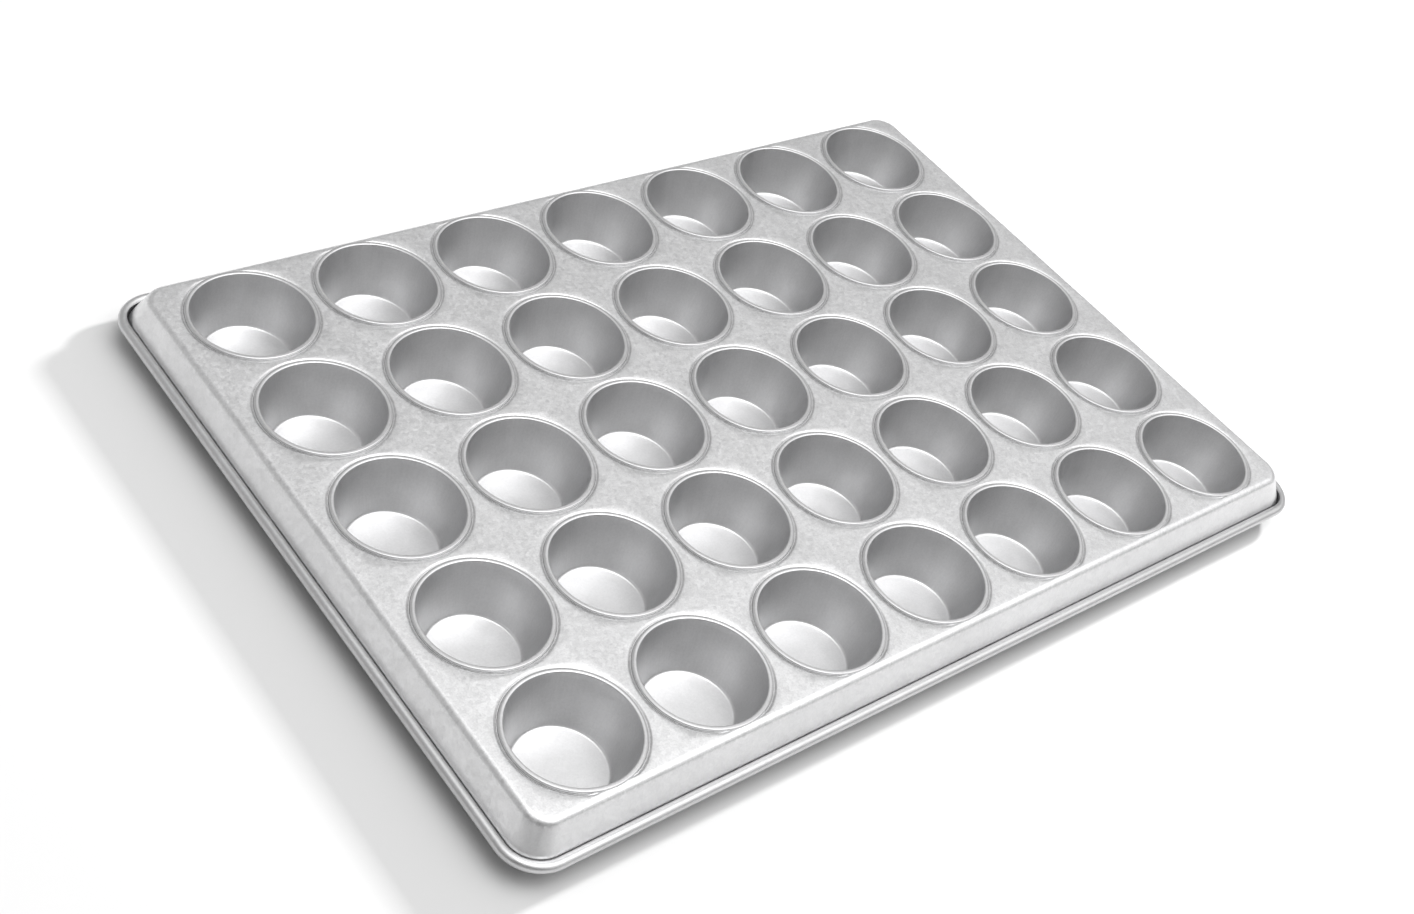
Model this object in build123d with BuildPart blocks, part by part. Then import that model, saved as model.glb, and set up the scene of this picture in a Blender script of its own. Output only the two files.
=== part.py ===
"""Full-size bakery muffin tin: drawn cups crimped into one pressed pan frame with a wired rim."""

import os
from math import cos, radians, sin, tan

from build123d import *

os.makedirs("parts", exist_ok=True)

# Overall pan and grid of cups, in millimetres.
pan_length = 654.0
pan_width = 457.0
columns = 7
rows = 5
pitch_x = 87.0
pitch_y = 85.4
sheet = 0.6

# One cup, measured inside.
floor_radius = 27.9
mouth_radius = 36.8
cup_depth = 34.0
floor_fillet = 2.2

# Crimp that holds a cup in the deck: a low bead above it and a folded ridge below it.
bead_radius = 39.7
bead_height = 1.2
hole_radius = 37.7
ridge_radius = 38.8
ridge_height = 1.2

# Pan frame: bend at the deck edge, sloping skirt and rolled rim.
bend_radius = 5.0
skirt_slope = 25.0
rim_drop = 23.1
deck_corner = 7.0
wire_diameter = 5.0
wire_clearance = 0.1
curl_turn = 308.0

# Heights above the floor that the cups stand on.
deck_top = cup_depth + sheet
deck_under = deck_top - sheet

# Rolled rim section, measured outwards from the end of the flat deck and down from its top.
slope = radians(skirt_slope)
curl_inner = wire_diameter / 2 + wire_clearance
curl_outer = curl_inner + sheet
wire_height = curl_outer - rim_drop
foot_height = wire_height - curl_inner * sin(slope)
bend_end = (bend_radius * cos(slope), -bend_radius * (1 - sin(slope)))
foot_out = bend_end[0] + (bend_end[1] - foot_height) * tan(slope)
wire_out = foot_out + curl_inner * cos(slope)
overhang = wire_out + curl_outer
deck_length = pan_length - 2 * overhang
deck_width = pan_width - 2 * overhang


def on_circle(centre, radius, degrees):
    """Point on a circle in the plane of a section."""
    turn = radians(degrees)
    return (centre[0] + radius * cos(turn), centre[1] + radius * sin(turn))


def section_plane(corner, turn):
    """Upright plane through a deck corner's centre that faces outwards along a compass turn."""
    angle = radians(turn)
    return Plane(
        origin=(corner[0], corner[1], deck_top),
        x_dir=(cos(angle), sin(angle), 0),
        z_dir=(sin(angle), -cos(angle), 0),
    )


corner_x = deck_length / 2 - deck_corner
corner_y = deck_width / 2 - deck_corner
corners = [
    (corner_x, corner_y),
    (-corner_x, corner_y),
    (-corner_x, -corner_y),
    (corner_x, -corner_y),
]
side_lengths = [2 * corner_x, 2 * corner_y, 2 * corner_x, 2 * corner_y]
cup_places = [
    (row, column, (column - (columns + 1) / 2) * pitch_x, (row - (rows + 1) / 2) * pitch_y)
    for row in range(1, rows + 1)
    for column in range(1, columns + 1)
]

# Pan frame section: key points of the bend, the skirt and the curl round the wire.
bend_centre = (deck_corner, -bend_radius)
wire_centre = (deck_corner + wire_out, wire_height)
bend_stop = skirt_slope
bend_middle = (90 + skirt_slope) / 2
curl_start = 180 + skirt_slope
curl_middle = curl_start + curl_turn / 2
curl_stop = curl_start + curl_turn
bend_inner = bend_radius - sheet


with BuildPart() as pan_frame:
    with BuildSketch(Plane.XY.offset(deck_under)):
        RectangleRounded(deck_length, deck_width, deck_corner)
        with Locations([(x, y) for row, column, x, y in cup_places]):
            Circle(hole_radius, mode=Mode.SUBTRACT)
    extrude(amount=sheet)
    for number, corner in enumerate(corners):
        for kind, turn in (("corner", 90 * number), ("side", 90 * (number + 1))):
            with BuildSketch(section_plane(corner, turn)):
                with BuildLine():
                    ThreePointArc(
                        (deck_corner, 0),
                        on_circle(bend_centre, bend_radius, bend_middle),
                        on_circle(bend_centre, bend_radius, bend_stop),
                    )
                    Line(
                        on_circle(bend_centre, bend_radius, bend_stop),
                        on_circle(wire_centre, curl_inner, curl_start),
                    )
                    ThreePointArc(
                        on_circle(wire_centre, curl_inner, curl_start),
                        on_circle(wire_centre, curl_inner, curl_middle),
                        on_circle(wire_centre, curl_inner, curl_stop),
                    )
                    Line(
                        on_circle(wire_centre, curl_inner, curl_stop),
                        on_circle(wire_centre, curl_outer, curl_stop),
                    )
                    ThreePointArc(
                        on_circle(wire_centre, curl_outer, curl_stop),
                        on_circle(wire_centre, curl_outer, curl_middle),
                        on_circle(wire_centre, curl_outer, curl_start),
                    )
                    Line(
                        on_circle(wire_centre, curl_outer, curl_start),
                        on_circle(bend_centre, bend_inner, bend_stop),
                    )
                    ThreePointArc(
                        on_circle(bend_centre, bend_inner, bend_stop),
                        on_circle(bend_centre, bend_inner, bend_middle),
                        (deck_corner, -sheet),
                    )
                    Line((deck_corner, -sheet), (deck_corner, 0))
                make_face()
            if kind == "corner":
                revolve(axis=Axis((corner[0], corner[1], 0), (0, 0, 1)), revolution_arc=90)
            else:
                extrude(amount=-side_lengths[number])
pan_frame.part.label = "pan_frame"
export_step(pan_frame.part, "parts/pan_frame.step")


with BuildPart() as rim_wire:
    for number, corner in enumerate(corners):
        for kind, turn in (("corner", 90 * number), ("side", 90 * (number + 1))):
            with BuildSketch(section_plane(corner, turn)):
                with Locations(wire_centre):
                    Circle(wire_diameter / 2)
            if kind == "corner":
                revolve(axis=Axis((corner[0], corner[1], 0), (0, 0, 1)), revolution_arc=90)
            else:
                extrude(amount=-side_lengths[number])
rim_wire.part.label = "rim_wire"
export_step(rim_wire.part, "parts/rim_wire.step")


# Cup section: the wall leans outwards, so its thickness is wider when measured level.
wall_lean = (mouth_radius - floor_radius) / cup_depth
wall_level = sheet * (1 + wall_lean**2) ** 0.5
ridge_under = deck_under - ridge_height


def inner_wall(height):
    """Radius of a cup's inner face at a height above the floor that it stands on."""
    return floor_radius + wall_lean * (height - sheet)


for row, column, x, y in cup_places:
    name = f"cup_r{row}_c{column}"
    with BuildPart() as cup:
        with BuildSketch(Plane(origin=(x, y, 0), x_dir=(1, 0, 0), z_dir=(0, -1, 0))):
            with BuildLine():
                Polyline(
                    (0, 0),
                    (0, sheet),
                    (floor_radius, sheet),
                    (mouth_radius, deck_top),
                    (mouth_radius + 0.35, deck_top + 0.75 * bead_height),
                    (mouth_radius + 1.1, deck_top + bead_height),
                    (bead_radius - 1.1, deck_top + bead_height),
                    (bead_radius - 0.3, deck_top + 0.7 * bead_height),
                    (bead_radius, deck_top),
                    (inner_wall(deck_top) + wall_level, deck_top),
                    (inner_wall(deck_under) + wall_level, deck_under),
                    (ridge_radius - ridge_height / 4, deck_under),
                    (ridge_radius, deck_under - ridge_height / 4),
                    (ridge_radius, ridge_under + ridge_height / 4),
                    (ridge_radius - ridge_height / 4, ridge_under),
                    (inner_wall(ridge_under) + wall_level, ridge_under),
                    (inner_wall(0) + wall_level, 0),
                    (0, 0),
                )
            make_face()
        revolve(axis=Axis((x, y, 0), (0, 0, 1)))
        fillet(cup.edges().filter_by(GeomType.CIRCLE).sort_by(Axis.Z)[1], floor_fillet)
        fillet(cup.edges().filter_by(GeomType.CIRCLE).sort_by(Axis.Z)[0], floor_fillet + sheet)
    cup.part.label = name
    export_step(cup.part, f"parts/{name}.step")
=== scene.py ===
import math

import bpy
import numpy as np
from bpy.props import FloatProperty, FloatVectorProperty, PointerProperty
from mathutils import Matrix, Vector


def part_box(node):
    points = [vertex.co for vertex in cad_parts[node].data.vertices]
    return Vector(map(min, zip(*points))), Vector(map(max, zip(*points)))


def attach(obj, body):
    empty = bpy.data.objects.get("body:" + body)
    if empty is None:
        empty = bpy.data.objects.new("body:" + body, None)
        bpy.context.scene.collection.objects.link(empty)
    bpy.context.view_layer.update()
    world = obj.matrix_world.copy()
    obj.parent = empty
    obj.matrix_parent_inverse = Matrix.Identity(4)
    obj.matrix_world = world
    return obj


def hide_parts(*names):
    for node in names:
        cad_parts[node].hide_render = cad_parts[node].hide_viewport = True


bl_info = {
    "name": "Muffin Tin Maker",
    "version": (1, 0, 0),
    "blender": (4, 5, 0),
    "location": "3D View > Sidebar > Muffin Tin",
    "description": "Makes a full-size bakery muffin tin of pressed sheet, with its finishes and a studio",
    "category": "Add Mesh",
}

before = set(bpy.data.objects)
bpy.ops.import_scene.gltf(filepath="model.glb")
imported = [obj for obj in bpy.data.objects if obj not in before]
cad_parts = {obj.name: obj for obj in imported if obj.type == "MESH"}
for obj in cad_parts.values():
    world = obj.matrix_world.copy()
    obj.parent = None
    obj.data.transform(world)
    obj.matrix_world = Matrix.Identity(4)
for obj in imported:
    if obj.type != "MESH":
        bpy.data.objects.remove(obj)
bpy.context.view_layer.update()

MM = 0.001
BODY = "root"
CUP_NAMES = sorted(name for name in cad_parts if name.startswith("cup_"))

# How finely surfaces are cut: along a cell's side, round an outer corner, round a cup, round the roll,
# round the deck's bend, down the skirt, and along and round the wire.
SIDE_STEPS = 14
CORNER_STEPS = 24
CUP_STEPS = 96
CURL_STEPS = 33
BEND_STEPS = 12
SKIRT_STEPS = 8
WIRE_SIDE_STEPS = 2
WIRE_SIDES = 20
# Faces that meet at more than this stay sharp.
CREASE_ANGLE = math.radians(38.0)

# The crimp. The bead's half ellipse is squared off by these powers, and its dark line starts at a foot
# above the deck. The folded ridge under the deck has a round edge.
BEAD_POWERS = (0.65, 0.6)
BEAD_FOOT = 0.1 * MM
RIDGE_OUT = 38.2 * MM
RIDGE_ROUND = 0.6 * MM

# The deck round a cup: circles about the cup's middle and how far the deck is pressed down on each. The
# bead's foot sits in a crease, then come a flat strip and a shallow groove. Past the last circle the
# deck is flat, and rings at these shares of the way lead to the cell's border.
PRESSED_CIRCLES = np.array([39.4, 39.75, 40.1, 40.45, 40.8, 41.2, 41.6, 42.1]) * MM
PRESSED_DEPTHS = np.array([0.0, 0.35, 0.12, 0.12, 0.5, 0.42, 0.12, 0.0]) * MM
FLAT_SHARES = np.array([0.4, 1.0])
SPARE_ROOM = 0.3 * MM

# Painted shade: dark lines painted round each crimp, each a circle's radius and the width over which it
# fades, and the painted shade of the whole roll, which tones down its highlight.
CREST_SHADE = (38.8 * MM, 0.45 * MM)
CREASE_SHADE = (39.7 * MM, 0.3 * MM)
GROOVE_SHADE = (41.0 * MM, 0.5 * MM)
ROLL_SHADE = 0.75

# The roll's opening: nearly none at the corners where x and y have the same sign, and more towards -X
# and -Y.
CLOSED_CORNER = 0.15
FACING_BASE, FACING_GAIN = 0.7, 0.8

# The streaks of a cup: how fast their pattern changes round it, up it and outwards, the radius inside
# which they fade on the floor, and how far the pattern moves from one cup to the next.
STREAKS_AROUND = 30.0
STREAKS_UP = 40.0
STREAKS_OUT = 60.0
STREAKS_FLOOR = 28.0 * MM
STREAKS_PER_CUP = 7.3

# Most of a noise texture's values lie between these two.
NOISE_LOW, NOISE_HIGH = 0.30, 0.70
# The sheet's grain fades to a share of itself on the skirt, between these heights.
GRAIN_HEIGHTS = (29.0 * MM, 33.5 * MM)
SKIRT_GRAIN = 0.35
WIRE_ROUGHNESS = 0.5

# Studio, in metres. The sky's levels are its brightness by a direction's cosine from SKY_UP. By the cosine
# from SKY_BEHIND, between the first two numbers of SKY_BEHIND_DIM, it is multiplied by the last two.
FLOOR_REACH = 40.0
FLOOR_LEVEL = -0.2 * MM
SKY_UP = (0.25, -0.25, 0.94)
SKY_LEVELS = (
    (0.0, 0.60),
    (0.40, 0.46),
    (0.55, 0.47),
    (0.63, 0.61),
    (0.77, 0.92),
    (0.87, 1.45),
    (0.94, 2.3),
    (1.0, 2.6),
)
SKY_BEHIND = (-0.77, -0.64, 0.0)
SKY_BEHIND_DIM = (0.25, 0.70, 1.0, 0.45)
TOP_PLACE, TOP_SIZE = (-0.1, -0.1, 2.4), 1.6
KEY_PLACE, KEY_SIZE = (2.6, 0.2, 1.5), 0.3
CAMERA_PLACE = (-0.7429, -0.5698, 0.7925)
CAMERA_AIM = (-0.0674, -0.0380, 0.0346)
CAMERA_ROLL = math.radians(20.4)
SENSOR_WIDTH = 36.0


# ---------------------------------------------------------------- user settings


class MuffinTinSizes(bpy.types.PropertyGroup):
    """Sizes of the pressed sheet, the cups and the wired rim."""

    sheet: FloatProperty(
        name="Sheet thickness",
        description="Thickness of the pressed steel",
        default=0.6 * MM,
        subtype="DISTANCE",
        unit="LENGTH",
        precision=5,
    )
    floor_radius: FloatProperty(
        name="Cup floor radius",
        description="Radius at which a cup's inner wall would meet its floor",
        default=27.9 * MM,
        subtype="DISTANCE",
        unit="LENGTH",
        precision=5,
    )
    mouth_radius: FloatProperty(
        name="Cup mouth radius",
        description="Inner radius of a cup at the deck",
        default=36.8 * MM,
        subtype="DISTANCE",
        unit="LENGTH",
        precision=5,
    )
    floor_fillet: FloatProperty(
        name="Cup floor rounding",
        description="Inner radius of the bend between a cup's wall and its floor",
        default=2.2 * MM,
        subtype="DISTANCE",
        unit="LENGTH",
        precision=5,
    )
    bead_radius: FloatProperty(
        name="Crimp radius",
        description="Outer radius of the low bead round a cup's mouth",
        default=39.7 * MM,
        subtype="DISTANCE",
        unit="LENGTH",
        precision=5,
    )
    hole_radius: FloatProperty(
        name="Deck hole radius",
        description="Radius of the deck's holes that the cups are crimped into",
        default=37.7 * MM,
        subtype="DISTANCE",
        unit="LENGTH",
        precision=5,
    )
    bend_radius: FloatProperty(
        name="Deck bend radius",
        description="Outer radius of the bend between the deck and the skirt",
        default=5.0 * MM,
        subtype="DISTANCE",
        unit="LENGTH",
        precision=5,
    )
    skirt_slope: FloatProperty(
        name="Skirt slope",
        description="Angle of the skirt from upright",
        default=math.radians(25.0),
        subtype="ANGLE",
        unit="ROTATION",
    )
    deck_corner: FloatProperty(
        name="Deck corner radius",
        description="Corner radius of the flat part of the deck",
        default=11.0 * MM,
        subtype="DISTANCE",
        unit="LENGTH",
        precision=5,
    )
    rim_corner: FloatProperty(
        name="Rim corner radius",
        description="Corner radius of the line along the deck's edges that the rim is measured from",
        default=7.0 * MM,
        subtype="DISTANCE",
        unit="LENGTH",
        precision=5,
    )
    wire_radius: FloatProperty(
        name="Rim wire radius",
        description="Radius of the steel wire inside the rolled rim",
        default=2.5 * MM,
        subtype="DISTANCE",
        unit="LENGTH",
        precision=5,
    )
    wire_gap: FloatProperty(
        name="Rim wire gap",
        description="Gap between the wire and the sheet rolled round it",
        default=0.1 * MM,
        subtype="DISTANCE",
        unit="LENGTH",
        precision=5,
    )
    curl_turn: FloatProperty(
        name="Rim curl",
        description="How far the skirt's foot is rolled round the wire along the sides",
        default=math.radians(308.0),
        subtype="ANGLE",
        unit="ROTATION",
    )
    corner_opening: FloatProperty(
        name="Rim opening at the corners",
        description="How much less the foot is rolled round the wire at the middle of a corner",
        default=math.radians(38.0),
        subtype="ANGLE",
        unit="ROTATION",
    )


class MuffinTinFinish(bpy.types.PropertyGroup):
    """Colours and gloss of the metal."""

    deck_colour: FloatVectorProperty(
        name="Deck colour",
        description="Colour of the spangled sheet of the deck, skirt and rim",
        subtype="COLOR",
        size=4,
        min=0.0,
        max=1.0,
        default=(0.80, 0.80, 0.805, 1.0),
    )
    cup_colour: FloatVectorProperty(
        name="Cup colour",
        description="Colour of the smooth drawn sheet of the cups",
        subtype="COLOR",
        size=4,
        min=0.0,
        max=1.0,
        default=(0.74, 0.74, 0.745, 1.0),
    )
    wire_colour: FloatVectorProperty(
        name="Wire colour",
        description="Colour of the wire inside the rim",
        subtype="COLOR",
        size=4,
        min=0.0,
        max=1.0,
        default=(0.13, 0.13, 0.135, 1.0),
    )
    deck_roughness: FloatProperty(
        name="Deck roughness",
        description="Mean roughness of the deck, skirt and rim",
        default=0.40,
        min=0.0,
        max=1.0,
        subtype="FACTOR",
    )
    cup_roughness: FloatProperty(
        name="Cup roughness",
        description="Mean roughness of the cups",
        default=0.40,
        min=0.0,
        max=1.0,
        subtype="FACTOR",
    )


class MuffinTinStudio(bpy.types.PropertyGroup):
    """Floor, lights and camera."""

    floor_colour: FloatVectorProperty(
        name="Floor colour",
        description="Colour of the pale studio floor",
        subtype="COLOR",
        size=4,
        min=0.0,
        max=1.0,
        default=(0.70, 0.70, 0.70, 1.0),
    )
    key_power: FloatProperty(
        name="Key light",
        description="Power of the soft light behind and to the right of the tin",
        default=100.0,
        unit="POWER",
    )
    top_power: FloatProperty(
        name="Top light",
        description="Power of the large soft light over the tin",
        default=8.0,
        unit="POWER",
    )
    lens: FloatProperty(
        name="Lens",
        description="Focal length on a 36 mm wide sensor, in millimetres",
        default=48.14,
    )


# ---------------------------------------------------------------- surfaces


def arc(centre, radius, start, stop, count):
    """Points (u, v) on a circle: centre + radius (cos a, sin a), with a evenly spaced from start to stop."""
    angle = np.linspace(start, stop, count)
    return np.stack([centre[0] + radius * np.cos(angle), centre[1] + radius * np.sin(angle)], -1)


def span(start, stop, count):
    """Points evenly spaced on the straight line from start to stop, both included."""
    part = np.linspace(0.0, 1.0, count)[:, None]
    return (1 - part) * np.asarray(start, float) + part * np.asarray(stop, float)


def without_repeats(points, least=1e-7):
    """The points with each one that lies on the point before it left out."""
    step = np.linalg.norm(np.diff(points, axis=0), axis=1)
    return points[np.concatenate([[True], step > least])]


def grid_quads(rows, columns, closed_rows, closed_columns):
    """Quads between neighbouring points of a grid that is numbered row by row. A closed direction joins
    its end to its start."""
    number = np.arange(rows * columns).reshape(rows, columns)
    number = np.concatenate([number, number[:1]], 0) if closed_rows else number
    number = np.concatenate([number, number[:, :1]], 1) if closed_columns else number
    quads = np.stack([number[:-1, :-1], number[:-1, 1:], number[1:, 1:], number[1:, :-1]], -1)
    return quads.reshape(-1, 4)


def spun(section, centre, steps):
    """Closed surface of revolution: section point (r, z) at turn t becomes centre + (r cos t, r sin t),
    height z. The section runs from the axis to the axis, so its first and last points are the two poles."""
    turn = np.linspace(0, 2 * np.pi, steps, endpoint=False)
    rings = section[1:-1]
    grid = np.empty((len(rings), steps, 3))
    grid[..., 0] = centre[0] + rings[:, :1] * np.cos(turn)
    grid[..., 1] = centre[1] + rings[:, :1] * np.sin(turn)
    grid[..., 2] = rings[:, 1:]
    poles = np.array([[*centre, section[0, 1]], [*centre, section[-1, 1]]])
    points = np.concatenate([grid.reshape(-1, 3), poles])
    quads = grid_quads(len(rings), steps, False, True)
    first = np.arange(steps)
    after = np.roll(first, -1)
    last = first + (len(rings) - 1) * steps
    pole = np.full(steps, len(points) - 2)
    triangles = np.concatenate(
        [np.stack([pole, first, after], -1), np.stack([pole + 1, last[after], last], -1)]
    )
    return points, quads[:, ::-1].tolist() + triangles.tolist()


def outline(edges_x, edges_y, corner, side_steps, corner_steps):
    """Stations round a rounded rectangle: a point, the outward direction there and how far round a corner
    it is. Sides are cut at the given edges and each cut is divided evenly, and corners are quarter
    circles. The last number is 0 on a side and runs from 0 to 1 in a corner."""
    cuts_x, cuts_y = (
        np.concatenate([[edges[0] + corner], edges[1:-1], [edges[-1] - corner]])
        for edges in (edges_x, edges_y)
    )
    along_x, along_y = (
        np.interp(np.arange(side_steps * (len(cuts) - 1) + 1) / side_steps, np.arange(len(cuts)), cuts)
        for cuts in (cuts_x, cuts_y)
    )
    part = np.linspace(0, 1, corner_steps + 1)
    sides = [
        np.stack([along_x[::-1], np.full(len(along_x), edges_y[-1])], -1),
        np.stack([np.full(len(along_y), edges_x[0]), along_y[::-1]], -1),
        np.stack([along_x, np.full(len(along_x), edges_y[0])], -1),
        np.stack([np.full(len(along_y), edges_x[-1]), along_y], -1),
    ]
    ends = ((-1, -1), (0, -1), (0, 0), (-1, 0))
    centres = [(cuts_x[end_x], cuts_y[end_y]) for end_x, end_y in ends]
    pieces = []
    for number, (centre, side) in enumerate(zip(centres, sides)):
        turn = (number + part) * np.pi / 2
        out = np.stack([np.cos(turn), np.sin(turn)], -1)
        side = side[1:-1]
        pieces.append(np.column_stack([centre + corner * out, out, part]))
        pieces.append(np.column_stack([side, np.tile(out[-1], (len(side), 1)), np.zeros(len(side))]))
    return np.concatenate(pieces)


def carried(places, out, sections, top, closed):
    """Surface carried round the tin: section point (u, v) becomes the station's place plus u times its
    outward direction, at height top + v. A closed section makes a tube."""
    grid = np.empty((len(out), sections.shape[1], 3))
    grid[..., :2] = places + sections[..., :1] * out[:, None]
    grid[..., 2] = top + sections[..., 1]
    return grid.reshape(-1, 3), grid_quads(*grid.shape[:2], True, closed)


def finish_mesh(name, points, faces, material, stands_for, marks=None):
    """Puts the surface into a mesh object at the origin, smooth except at creases, and rides it on the
    tin. Each mark is stored on the points as three numbers, and a mark of one number repeats it."""
    mesh = bpy.data.meshes.new(name)
    mesh.from_pydata(points.tolist(), [], faces)
    mesh.shade_smooth()
    mesh.set_sharp_from_angle(angle=CREASE_ANGLE)
    for title, values in (marks or {}).items():
        values = np.broadcast_to(values.reshape(len(points), -1), (len(points), 3))
        layer = mesh.attributes.new(title, "FLOAT_VECTOR", "POINT")
        layer.data.foreach_set("vector", values.astype(np.float32).ravel())
    mesh.materials.append(bpy.data.materials[material])
    mesh.update()
    piece = bpy.data.objects.new(name, mesh)
    bpy.context.scene.collection.objects.link(piece)
    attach(piece, BODY)
    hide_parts(stands_for)
    return piece


def cup_section(sizes, deck_top, bead_top):
    """Half section of a cup from the middle of its inner floor, up its wall, over the crimp and back
    under its floor. The wall leans straight from the floor's arc to the mouth. The crimp is a low bead on
    the deck, half an ellipse with squared shoulders, and a folded ridge under the deck with a round edge."""
    sheet = sizes.sheet
    lean = math.atan2(sizes.mouth_radius - sizes.floor_radius, deck_top - sheet)
    across, up = math.cos(lean), math.sin(lean)
    inner = sizes.floor_fillet
    setback = inner * math.tan((math.pi / 2 - lean) / 2)
    heel = (sizes.floor_radius - setback, sheet + inner)
    outer = inner + sheet
    middle = (sizes.mouth_radius + sizes.bead_radius) / 2
    half = (sizes.bead_radius - sizes.mouth_radius) / 2
    height = bead_top - deck_top
    turn = np.linspace(np.pi, 0, 13)
    sideways = np.sign(np.cos(turn)) * np.abs(np.cos(turn)) ** BEAD_POWERS[0]
    upward = np.abs(np.sin(turn)) ** BEAD_POWERS[1]
    bead = np.stack([middle + sideways * half, deck_top + upward * height], -1)
    wall_foot = (heel[0] + inner * across, heel[1] - inner * up)
    wall_level = sheet / across
    under = deck_top - sheet
    neck = sizes.mouth_radius + wall_level
    slack = math.tan(lean) * sheet
    ridge = under - 2 * RIDGE_ROUND
    sole_foot = (heel[0] + outer * across, heel[1] - outer * up)
    section = np.concatenate(
        [
            span((0, sheet), (heel[0], sheet), 6),
            arc(heel, inner, -np.pi / 2, -lean, 9),
            span(wall_foot, (sizes.mouth_radius, deck_top), 10),
            bead,
            span((sizes.bead_radius, deck_top), (neck, deck_top), 3),
            span((neck, deck_top), (neck - slack, under), 2),
            span((neck - slack, under), (RIDGE_OUT, under), 2),
            arc((RIDGE_OUT, under - RIDGE_ROUND), RIDGE_ROUND, np.pi / 2, -np.pi / 2, 7),
            span((RIDGE_OUT, ridge), (neck - 3 * slack, ridge), 2),
            span((neck - 3 * slack, ridge), sole_foot, 6),
            arc(heel, outer, -lean, -np.pi / 2, 9),
            span((heel[0], 0), (0, 0), 4),
        ]
    )
    return without_repeats(section)


def wire_place(sizes, rim_drop):
    """Where the wire's middle lies from the flat deck's end, outwards and up. The roll's outside just
    reaches the rim's foot, and the skirt's outer face touches the wire's gap."""
    slope = sizes.skirt_slope
    inner = sizes.wire_radius + sizes.wire_gap
    wire_v = inner + sizes.sheet - rim_drop
    foot_v = wire_v - inner * math.sin(slope)
    bend_u, bend_v = sizes.bend_radius * math.cos(slope), -sizes.bend_radius * (1 - math.sin(slope))
    return bend_u + (bend_v - foot_v) * math.tan(slope) + inner * math.cos(slope), wire_v


def rim_sections(sizes, opened, rim_drop):
    """Sheet section at each station, from the flat deck's end down the skirt and round the wire, then
    back inside it. The curl goes round the wire by its full turn less the share of the corner opening
    given for the station. The second result is how far down the skirt each point is: 0 on the deck, 1
    from the foot onwards. The third is 1 on the outside of the roll and 0 elsewhere."""
    slope = sizes.skirt_slope
    sheet, bend = sizes.sheet, sizes.bend_radius
    inner = sizes.wire_radius + sizes.wire_gap
    wire_u, wire_v = wire_place(sizes, rim_drop)
    turn = sizes.curl_turn - sizes.corner_opening * opened
    angle = math.pi + slope + turn[:, None] * np.linspace(0, 1, CURL_STEPS)
    curl_in, curl_out = (
        np.stack([wire_u + radius * np.cos(angle), wire_v + radius * np.sin(angle)], -1)
        for radius in (inner, inner + sheet)
    )
    bend_out = arc((0, -bend), bend, np.pi / 2, slope, BEND_STEPS)
    bend_in = arc((0, -bend), bend - sheet, slope, np.pi / 2, BEND_STEPS)
    front = np.concatenate([bend_out, span(bend_out[-1], curl_in[0, 0], SKIRT_STEPS)[1:-1]])
    back = np.concatenate([span(curl_out[0, 0], bend_in[0], SKIRT_STEPS)[1:-1], bend_in])
    front_here, back_here = (np.broadcast_to(line, (len(opened), *line.shape)) for line in (front, back))
    sections = np.concatenate([front_here, curl_in, curl_out[:, ::-1], back_here], axis=1)
    down_front = front[:, 1] / front[-1, 1]
    down_back = (back[:, 1] + sheet) / (back[0, 1] + sheet)
    share = np.clip(np.concatenate([down_front, np.ones(2 * CURL_STEPS), down_back]), 0, 1)
    rolled = np.repeat([0.0, 1.0, 0.0], [len(front) + CURL_STEPS, CURL_STEPS, len(back)])
    return sections, share, rolled


def corners_opened(path):
    """Share of the corner opening at each station: sin(pi part) round a corner, more where it faces -X
    and -Y, and nearly none at the corners where x and y have the same sign."""
    facing = -(path[:, 2] + path[:, 3]) / math.sqrt(2)
    opened = np.sin(np.pi * path[:, 4]) * np.clip(FACING_BASE + FACING_GAIN * facing, 0, 1)
    return opened * np.where(path[:, 0] * path[:, 1] < 0, 1.0, CLOSED_CORNER)


def cell_border(low, high, corner_signs, corner):
    """Points round one rectangular cell of the deck, with the corner that lies on the deck's own corner
    rounded."""
    low, high = np.asarray(low), np.asarray(high)
    part = np.linspace(0, 1, CORNER_STEPS + 1)
    signs = [(1, 1), (-1, 1), (-1, -1), (1, -1)]
    turns = []
    for number, sign in enumerate(signs):
        place = np.where(np.array(sign) > 0, high, low)
        if sign == corner_signs:
            angle = (number + part) * np.pi / 2
            middle = place - corner * np.array(sign)
            turns.append(middle + corner * np.stack([np.cos(angle), np.sin(angle)], -1))
        else:
            turns.append(place[None])
    pieces = []
    for number, here in enumerate(turns):
        ahead = turns[(number + 1) % 4]
        pieces.append(here)
        pieces.append(span(here[-1], ahead[0], SIDE_STEPS + 1)[1:-1])
    return np.concatenate(pieces)


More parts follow.
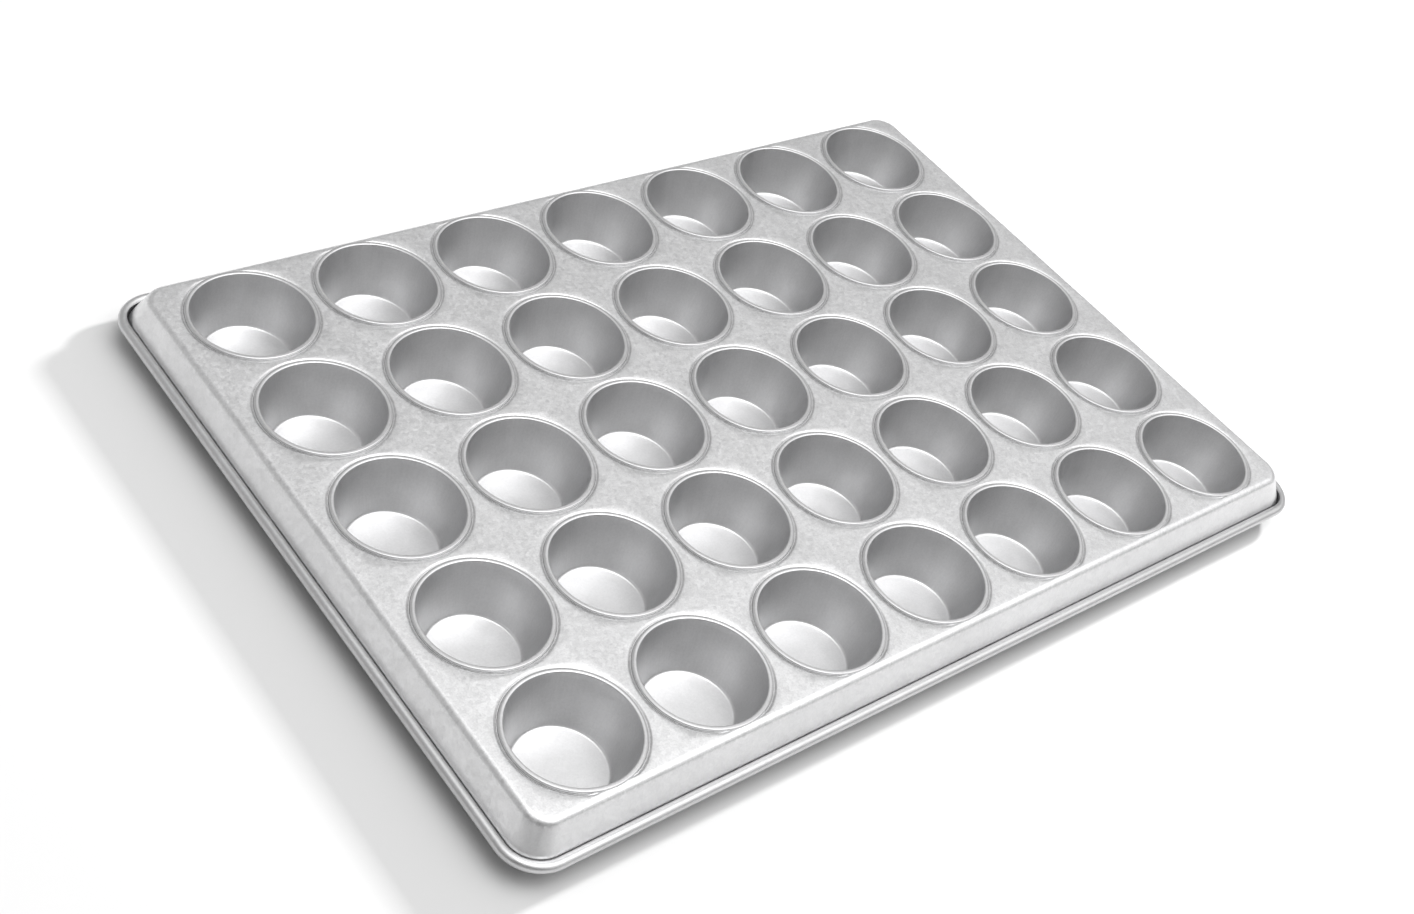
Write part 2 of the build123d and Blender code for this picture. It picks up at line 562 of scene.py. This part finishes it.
def deck_cell(centre, border, hole, top, sheet):
    """Both faces of the deck round one hole: circles near the hole, then rings that widen to the cell's
    border. Each circle is pressed down by its depth. Where the border is close, circles shrink to the
    room that is left and their depth by its cube."""
    away = border - centre
    reach = np.linalg.norm(away, axis=1)[:, None]
    ray = away / reach
    near = np.concatenate([[hole], PRESSED_CIRCLES])
    depth = np.concatenate([[0.0], PRESSED_DEPTHS, np.zeros(len(FLAT_SHARES))])
    room = np.minimum((reach - hole) / (near[-1] - hole + SPARE_ROOM), 1.0)
    circles = hole + (near[:, None, None] - hole) * room
    radii = np.concatenate([circles, circles[-1] + (reach - circles[-1]) * FLAT_SHARES[:, None, None]])
    upper = np.empty((len(radii), len(ray), 3))
    upper[..., :2] = centre + radii * ray
    upper[..., 2] = top - depth[:, None] * room[:, 0] ** 3
    lower = upper - [0, 0, sheet]
    count = upper.shape[0] * upper.shape[1]
    quads = grid_quads(upper.shape[0], upper.shape[1], False, True)
    number = np.arange(len(ray))
    after = np.roll(number, -1)
    edge = np.stack([number, after, after + count, number + count], -1)
    points = np.concatenate([upper.reshape(-1, 3), lower.reshape(-1, 3)])
    return points, np.concatenate([quads[:, ::-1], quads + count, edge])


def joined(parts):
    """One set of points and quads from several, with each set's quads numbered on from the sets before it."""
    starts = np.cumsum([0] + [len(points) for points, quads in parts[:-1]])
    points = np.concatenate([points for points, quads in parts])
    quads = np.concatenate([quads + start for (points_here, quads), start in zip(parts, starts)])
    return points, quads


def welded(points, quads, within=2e-6):
    """Points that share a place become one, found by rounding their coordinates. The last result says
    which points were kept."""
    keys = np.round(points / within).astype(np.int64)
    _, first, number = np.unique(keys, axis=0, return_index=True, return_inverse=True)
    return points[first], number.reshape(-1)[quads].tolist(), first


def faded_line(away, line):
    """A line's darkness exp(-((away - radius) / width)^2) at distances away from a cup's middle."""
    radius, width = line
    return np.exp(-(((away - radius) / width) ** 2))


def streak_places(points, centre, number):
    """Places in the streak pattern: the direction from the cup's middle, which shrinks to nothing across
    the floor, and a slow change up and outwards, all moved on by the cup's number. Also the distance from
    the middle."""
    around = points[:, :2] - centre
    away = np.linalg.norm(around, axis=1, keepdims=True)
    heading = around / np.maximum(away, 1e-6) * np.minimum(away / STREAKS_FLOOR, 1.0)
    rise = points[:, 2:] * STREAKS_UP + away * STREAKS_OUT
    return np.column_stack([heading * STREAKS_AROUND, rise]) + number * STREAKS_PER_CUP, away[:, 0]


# ---------------------------------------------------------------- finishes


def node(tree, kind, place, **values):
    """Adds a node of a kind at a place, with its settings and the inputs named in values."""
    made = tree.nodes.new(kind)
    made.location = place
    for name, value in values.items():
        if name in made.bl_rna.properties:
            setattr(made, name, value)
        else:
            made.inputs[name.replace("_", " ")].default_value = value
    return made


def ranged(tree, place, value, low, high, at_low, at_high):
    """Output of a node that turns a value from low to high into one from at_low to at_high and holds it
    outside."""
    made = node(tree, "ShaderNodeMapRange", place, clamp=True)
    for title, limit in (("From Min", low), ("From Max", high), ("To Min", at_low), ("To Max", at_high)):
        made.inputs[title].default_value = limit
    tree.links.new(value, made.inputs["Value"])
    return made.outputs["Result"]


def steadied(tree, place, value, amount):
    """Output of a node that gives a value in full where amount is 1 and its mean, a half, where amount is
    0."""
    made = node(tree, "ShaderNodeMix", place, data_type="FLOAT")
    made.inputs["A"].default_value = 0.5
    tree.links.new(amount, made.inputs["Factor"])
    tree.links.new(value, made.inputs["B"])
    return made.outputs["Result"]


def bumped(tree, place, height, strength, distance, under=None):
    """Output of a bump node of a strength and distance, on top of another bump if one is given."""
    made = node(tree, "ShaderNodeBump", place, Strength=strength, Distance=distance)
    tree.links.new(height, made.inputs["Height"])
    if under is not None:
        tree.links.new(under, made.inputs["Normal"])
    return made.outputs["Normal"]


def metal(name, colour, roughness):
    """A new metal material and its shader, with a colour and a mean roughness."""
    made = bpy.data.materials.new(name)
    made.use_nodes = True
    made.diffuse_color = colour
    tree = made.node_tree
    shader = tree.nodes["Principled BSDF"]
    shader.location = (900, 0)
    tree.nodes["Material Output"].location = (1250, 0)
    shader.inputs["Metallic"].default_value = 1.0
    shader.inputs["Base Color"].default_value = colour
    shader.inputs["Roughness"].default_value = roughness
    return made, tree, shader


def mixed_tones(tree, places, colour, tones):
    """Multiplies a colour by grey tones one after the other and returns the last output. A tone is a
    value, the range it has and the grey at each end."""
    last = None
    for number, (value, low, high, at_low, at_high) in enumerate(tones):
        down = -220 * number
        tone = ranged(tree, (places, down), value, low, high, at_low, at_high)
        mix = node(tree, "ShaderNodeMix", (places + 220, down), data_type="RGBA", blend_type="MULTIPLY")
        mix.inputs["Factor"].default_value = 1.0
        if last is None:
            mix.inputs["A"].default_value = colour
        else:
            tree.links.new(last, mix.inputs["A"])
        tree.links.new(tone, mix.inputs["B"])
        last = mix.outputs["Result"]
    return last


def spangled_sheet(name, colour, roughness):
    """Coated sheet: fine spangle and grain that fade down the skirt, soft cloudy patches, a slight
    waviness, and painted shade where the painted_shade attribute says: dark lines in the grooves round the
    crimps and a darker roll on the rim, which tones down its highlight."""
    made, tree, shader = metal(name, colour, roughness)
    where = node(tree, "ShaderNodeTexCoord", (-1100, 0)).outputs["Object"]
    spangle = node(tree, "ShaderNodeTexVoronoi", (-800, 300), feature="F1", Scale=520.0, Randomness=1.0)
    grain = node(tree, "ShaderNodeTexNoise", (-800, 0), Scale=900.0, Detail=3.0, Roughness=0.6)
    cloud = node(tree, "ShaderNodeTexNoise", (-800, -300), Scale=26.0, Detail=3.0, Roughness=0.55)
    wave = node(tree, "ShaderNodeTexNoise", (-800, -600), Scale=9.0, Detail=1.0, Roughness=0.4)
    for texture in (spangle, grain, cloud, wave):
        tree.links.new(where, texture.inputs["Vector"])
    painted_shade = node(tree, "ShaderNodeAttribute", (-800, 600), attribute_name="painted_shade")
    cell = node(tree, "ShaderNodeSeparateColor", (-600, 300))
    tree.links.new(spangle.outputs["Color"], cell.inputs["Color"])
    spot = node(tree, "ShaderNodeSeparateXYZ", (-1100, 900))
    tree.links.new(where, spot.inputs["Vector"])
    full = ranged(tree, (-900, 900), spot.outputs["Z"], *GRAIN_HEIGHTS, SKIRT_GRAIN, 1.0)
    speckle = steadied(tree, (-600, 0), grain.outputs["Fac"], full)
    fleck = steadied(tree, (-450, 300), cell.outputs["Red"], full)
    tones = [
        (fleck, 0.0, 1.0, 0.93, 1.05),
        (speckle, NOISE_LOW, NOISE_HIGH, 0.92, 1.07),
        (cloud.outputs["Fac"], NOISE_LOW, NOISE_HIGH, 0.95, 1.03),
        # Painted shade: darker in the grooves round the crimps and on the rim's roll.
        (painted_shade.outputs["Fac"], 0.0, 1.0, 1.0, 0.70),
    ]
    tree.links.new(mixed_tones(tree, -350, colour, tones), shader.inputs["Base Color"])
    gloss = ranged(tree, (300, -500), cell.outputs["Green"], 0.0, 1.0, roughness - 0.07, roughness + 0.07)
    tree.links.new(gloss, shader.inputs["Roughness"])
    fine = bumped(tree, (300, -750), speckle, 0.22, 0.25 * MM)
    slow = bumped(tree, (550, -750), wave.outputs["Fac"], 0.35, 1.2 * MM, fine)
    tree.links.new(slow, shader.inputs["Normal"])
    return made


def drawn_sheet(name, colour, roughness):
    """Drawn cup sheet: faint streaks up the wall that turn into a patchy floor, a soft grain, cloudy
    patches and a painted shade line along the bead's crest, where the painted_shade attribute is."""
    made, tree, shader = metal(name, colour, roughness)
    where = node(tree, "ShaderNodeTexCoord", (-1100, 0)).outputs["Object"]
    wrapped = node(tree, "ShaderNodeAttribute", (-1100, -300), attribute_name="drawn").outputs["Vector"]
    painted_shade = node(tree, "ShaderNodeAttribute", (-800, 450), attribute_name="painted_shade")
    grain = node(tree, "ShaderNodeTexNoise", (-800, 200), Scale=700.0, Detail=3.0, Roughness=0.6)
    cloud = node(tree, "ShaderNodeTexNoise", (-800, -50), Scale=45.0, Detail=3.0, Roughness=0.55)
    streak = node(tree, "ShaderNodeTexNoise", (-800, -300), Scale=1.0, Detail=4.0, Roughness=0.6)
    tree.links.new(where, grain.inputs["Vector"])
    tree.links.new(where, cloud.inputs["Vector"])
    tree.links.new(wrapped, streak.inputs["Vector"])
    tones = [
        (grain.outputs["Fac"], NOISE_LOW, NOISE_HIGH, 0.96, 1.03),
        (cloud.outputs["Fac"], NOISE_LOW, NOISE_HIGH, 0.94, 1.03),
        (streak.outputs["Fac"], NOISE_LOW, NOISE_HIGH, 0.965, 1.02),
        # Painted shade: a darker line along the bead's crest.
        (painted_shade.outputs["Fac"], 0.0, 1.0, 1.0, 0.7),
    ]
    tree.links.new(mixed_tones(tree, -550, colour, tones), shader.inputs["Base Color"])
    streaky = streak.outputs["Fac"]
    gloss = ranged(tree, (300, -500), streaky, NOISE_LOW, NOISE_HIGH, roughness - 0.06, roughness + 0.06)
    tree.links.new(gloss, shader.inputs["Roughness"])
    fine = bumped(tree, (300, -750), grain.outputs["Fac"], 0.15, 0.2 * MM)
    drag = bumped(tree, (550, -750), streaky, 0.1, 0.3 * MM, fine)
    tree.links.new(drag, shader.inputs["Normal"])
    return made


def drawn_wire(name, colour, roughness):
    """Plain wire with a dull, patchy skin."""
    made, tree, shader = metal(name, colour, roughness)
    where = node(tree, "ShaderNodeTexCoord", (-1100, 0)).outputs["Object"]
    patch = node(tree, "ShaderNodeTexNoise", (-800, 0), Scale=240.0, Detail=4.0, Roughness=0.6)
    tree.links.new(where, patch.inputs["Vector"])
    tones = [(patch.outputs["Fac"], NOISE_LOW, NOISE_HIGH, 0.75, 1.15)]
    tree.links.new(mixed_tones(tree, -350, colour, tones), shader.inputs["Base Color"])
    skin = bumped(tree, (550, -500), patch.outputs["Fac"], 0.3, 0.2 * MM)
    tree.links.new(skin, shader.inputs["Normal"])
    return made


def floor_paint(colour):
    """Matt pale paint with faint cloudy patches."""
    made = bpy.data.materials.new("studio_floor_paint")
    made.use_nodes = True
    tree = made.node_tree
    shader = tree.nodes["Principled BSDF"]
    shader.inputs["Roughness"].default_value = 0.9
    shader.inputs["Specular IOR Level"].default_value = 0.1
    where = node(tree, "ShaderNodeTexCoord", (-900, 0)).outputs["Object"]
    cloud = node(tree, "ShaderNodeTexNoise", (-700, 0), Scale=1.5, Detail=2.0)
    tree.links.new(where, cloud.inputs["Vector"])
    tones = [(cloud.outputs["Fac"], NOISE_LOW, NOISE_HIGH, 0.99, 1.0)]
    tree.links.new(mixed_tones(tree, -450, colour, tones), shader.inputs["Base Color"])
    return made


def aligned(tree, place, where, direction):
    """Output of a node that gives the cosine between the way looked and a direction."""
    made = node(tree, "ShaderNodeVectorMath", place, operation="DOT_PRODUCT")
    made.inputs[1].default_value = direction
    tree.links.new(where, made.inputs[0])
    return made.outputs["Value"]


def soft_sky():
    """Sky that is brightest towards SKY_UP and dimmer behind the camera, where the cups' walls mirror it."""
    made = bpy.data.worlds.new("studio_surroundings")
    made.use_nodes = True
    tree = made.node_tree
    back = tree.nodes["Background"]
    where = node(tree, "ShaderNodeTexCoord", (-900, 0)).outputs["Generated"]
    ramp = node(tree, "ShaderNodeValToRGB", (-450, 0))
    ramp.color_ramp.interpolation = "LINEAR"
    while len(ramp.color_ramp.elements) < len(SKY_LEVELS):
        ramp.color_ramp.elements.new(0.5)
    for stop, (position, level) in zip(ramp.color_ramp.elements, SKY_LEVELS):
        stop.position = position
        stop.color = (level, level, level, 1)
    upward = aligned(tree, (-700, 0), where, Vector(SKY_UP).normalized())
    tree.links.new(upward, ramp.inputs["Fac"])
    tree.links.new(ramp.outputs["Color"], back.inputs["Color"])
    behind = aligned(tree, (-700, -300), where, SKY_BEHIND)
    tree.links.new(ranged(tree, (-450, -300), behind, *SKY_BEHIND_DIM), back.inputs["Strength"])
    return made


# ---------------------------------------------------------------- operators


def deck_levels():
    """Far corner of the deck and rim, and how far the rim's foot is below the deck, read from the frame's
    box."""
    low, high = (np.array(corner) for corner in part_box("pan_frame"))
    return high, high[2] - low[2]


def cup_centres():
    """Middle of every cup, seen from above."""
    return np.array([np.mean(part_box(name), 0)[:2] for name in CUP_NAMES])


def deck_edges(sizes, high, rim_drop):
    """Lines that cut the flat deck into one cell for each cup: its outer edges and the lines half way
    between cups."""
    half = high[:2] - wire_place(sizes, rim_drop)[0] - sizes.wire_radius - sizes.wire_gap - sizes.sheet
    lines = (np.unique(np.round(values, 5)) for values in cup_centres().T)
    return [np.concatenate([[-end], (line[1:] + line[:-1]) / 2, [end]]) for line, end in zip(lines, half)]


class MUFFIN_OT_finishes(bpy.types.Operator):
    """Make the metal finishes of the deck, the cups and the wire"""

    bl_idname = "muffin_tin.finishes"
    bl_label = "Metal finishes"

    def execute(self, context):
        finish = context.scene.muffin_tin_finish
        spangled_sheet("spangled_sheet", finish.deck_colour, finish.deck_roughness)
        drawn_sheet("drawn_sheet", finish.cup_colour, finish.cup_roughness)
        drawn_wire("rim_wire_steel", finish.wire_colour, WIRE_ROUGHNESS)
        return {"FINISHED"}


class MUFFIN_OT_pan_frame(bpy.types.Operator):
    """Make the deck with its holes, the skirt and the rolled rim as one sheet"""

    bl_idname = "muffin_tin.pan_frame"
    bl_label = "Pan frame"

    def execute(self, context):
        sizes = context.scene.muffin_tin_sizes
        high, rim_drop = deck_levels()
        edges_x, edges_y = deck_edges(sizes, high, rim_drop)
        last_x, last_y = len(edges_x) - 2, len(edges_y) - 2
        parts = []
        for centre in cup_centres():
            i, j = np.searchsorted(edges_x, centre[0]) - 1, np.searchsorted(edges_y, centre[1]) - 1
            signs = ((i == last_x) - int(i == 0), (j == last_y) - int(j == 0))
            low, far = (edges_x[i], edges_y[j]), (edges_x[i + 1], edges_y[j + 1])
            border = cell_border(low, far, signs, sizes.deck_corner)
            parts.append(deck_cell(centre, border, sizes.hole_radius, high[2], sizes.sheet))
        path = outline(edges_x, edges_y, sizes.deck_corner, SIDE_STEPS, CORNER_STEPS)
        base = outline(edges_x, edges_y, sizes.rim_corner, SIDE_STEPS, CORNER_STEPS)
        sections, share, rolled = rim_sections(sizes, corners_opened(path), rim_drop)
        share = share[:, None]
        places = path[:, None, :2] * (1 - share) + base[:, None, :2] * share
        parts.append(carried(places, path[:, 2:4], sections, high[2], False))
        points, quads = joined(parts)
        # Painted shade: dark lines in the groove and crease round every crimp, and the whole roll darker to
        # tone down its highlight.
        away = np.min(np.linalg.norm(points[:, None, :2] - cup_centres(), axis=2), axis=1)
        painted_shade = faded_line(away, GROOVE_SHADE) + faded_line(away, CREASE_SHADE)
        painted_shade[-len(path) * len(rolled) :] = np.tile(rolled, len(path)) * ROLL_SHADE
        points, quads, kept = welded(points, quads)
        marks = {"painted_shade": painted_shade[kept]}
        finish_mesh("pan_frame_sheet", points, quads, "spangled_sheet", "pan_frame", marks)
        return {"FINISHED"}


class MUFFIN_OT_rim_wire(bpy.types.Operator):
    """Make the closed loop of wire inside the rolled rim"""

    bl_idname = "muffin_tin.rim_wire"
    bl_label = "Rim wire"

    def execute(self, context):
        sizes = context.scene.muffin_tin_sizes
        high, rim_drop = deck_levels()
        edges_x, edges_y = deck_edges(sizes, high, rim_drop)
        base = outline(edges_x, edges_y, sizes.rim_corner, WIRE_SIDE_STEPS, CORNER_STEPS)
        ring = arc(wire_place(sizes, rim_drop), sizes.wire_radius, 2 * np.pi, 0, WIRE_SIDES + 1)[None, :-1]
        points, quads = carried(base[:, None, :2], base[:, 2:4], ring, high[2], True)
        finish_mesh("rim_wire_loop", points, quads.tolist(), "rim_wire_steel", "rim_wire")
        return {"FINISHED"}


class MUFFIN_OT_cups(bpy.types.Operator):
    """Make the drawn cups, one surface of revolution in each hole"""

    bl_idname = "muffin_tin.cups"
    bl_label = "Cups"

    def execute(self, context):
        sizes = context.scene.muffin_tin_sizes
        deck_top = deck_levels()[0][2]
        section = cup_section(sizes, deck_top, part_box(CUP_NAMES[0])[1][2])
        for number, (name, centre) in enumerate(zip(CUP_NAMES, cup_centres())):
            points, faces = spun(section, centre, CUP_STEPS)
            streaks, away = streak_places(points, centre, number)
            raised = points[:, 2] > deck_top + BEAD_FOOT
            # Painted shade: a dark line along the bead's crest, above the deck.
            marks = {"drawn": streaks, "painted_shade": faded_line(away, CREST_SHADE) * raised}
            finish_mesh(name + "_drawn", points, faces, "drawn_sheet", name, marks)
        return {"FINISHED"}


class MUFFIN_OT_studio(bpy.types.Operator):
    """Make the pale floor, the soft lights and the camera"""

    bl_idname = "muffin_tin.studio"
    bl_label = "Studio"

    def execute(self, context):
        studio = context.scene.muffin_tin_studio
        scene = context.scene
        scene.view_settings.view_transform = "Standard"
        mesh = bpy.data.meshes.new("studio_floor")
        signs = ((-1, -1), (1, -1), (1, 1), (-1, 1))
        corners = [(x * FLOOR_REACH, y * FLOOR_REACH, FLOOR_LEVEL) for x, y in signs]
        mesh.from_pydata(corners, [], [[0, 1, 2, 3]])
        mesh.materials.append(floor_paint(studio.floor_colour))
        floor = bpy.data.objects.new("studio_floor", mesh)
        scene.collection.objects.link(floor)

        scene.world = soft_sky()
        self.soft_light("top_light", TOP_PLACE, TOP_SIZE, studio.top_power)
        key = self.soft_light("key_light", KEY_PLACE, KEY_SIZE, studio.key_power)
        key.visible_glossy = False

        camera_data = bpy.data.cameras.new("camera")
        camera_data.sensor_width = SENSOR_WIDTH
        camera_data.lens = studio.lens
        camera = bpy.data.objects.new("camera", camera_data)
        scene.collection.objects.link(camera)
        place = Vector(CAMERA_PLACE)
        level = (place - Vector(CAMERA_AIM)).to_track_quat("Z", "Y").to_matrix().to_4x4()
        camera.matrix_world = Matrix.Translation(place) @ level @ Matrix.Rotation(CAMERA_ROLL, 4, "Z")
        scene.camera = camera
        return {"FINISHED"}

    def soft_light(self, name, place, size, power):
        """A square area light at a place, turned to face the tin's middle."""
        data = bpy.data.lights.new(name, "AREA")
        data.shape = "RECTANGLE"
        data.size = data.size_y = size
        data.energy = power
        light = bpy.data.objects.new(name, data)
        bpy.context.scene.collection.objects.link(light)
        light.location = place
        light.rotation_euler = Vector(place).to_track_quat("Z", "Y").to_euler()
        return light


class MUFFIN_PT_panel(bpy.types.Panel):
    """Sizes, finishes and the steps that make the tin"""

    bl_idname = "MUFFIN_PT_panel"
    bl_label = "Muffin Tin"
    bl_space_type = "VIEW_3D"
    bl_region_type = "UI"
    bl_category = "Muffin Tin"

    def draw(self, context):
        layout = self.layout
        for title, group in (
            ("Sizes", context.scene.muffin_tin_sizes),
            ("Finish", context.scene.muffin_tin_finish),
            ("Studio", context.scene.muffin_tin_studio),
        ):
            box = layout.box()
            box.label(text=title)
            for name in group.bl_rna.properties.keys():
                if name not in ("rna_type", "name"):
                    box.prop(group, name)
        for operator in OPERATORS:
            layout.operator(operator.bl_idname)


GROUPS = (MuffinTinSizes, MuffinTinFinish, MuffinTinStudio)
OPERATORS = (
    MUFFIN_OT_finishes,
    MUFFIN_OT_pan_frame,
    MUFFIN_OT_rim_wire,
    MUFFIN_OT_cups,
    MUFFIN_OT_studio,
)


def register():
    for kind in (*GROUPS, *OPERATORS, MUFFIN_PT_panel):
        bpy.utils.register_class(kind)
    bpy.types.Scene.muffin_tin_sizes = PointerProperty(type=MuffinTinSizes)
    bpy.types.Scene.muffin_tin_finish = PointerProperty(type=MuffinTinFinish)
    bpy.types.Scene.muffin_tin_studio = PointerProperty(type=MuffinTinStudio)


def unregister():
    del bpy.types.Scene.muffin_tin_studio
    del bpy.types.Scene.muffin_tin_finish
    del bpy.types.Scene.muffin_tin_sizes
    for kind in reversed((*GROUPS, *OPERATORS, MUFFIN_PT_panel)):
        bpy.utils.unregister_class(kind)


def main():
    register()
    bpy.ops.muffin_tin.finishes()
    bpy.ops.muffin_tin.pan_frame()
    bpy.ops.muffin_tin.rim_wire()
    bpy.ops.muffin_tin.cups()
    bpy.ops.muffin_tin.studio()


if __name__ == "__main__":
    main()
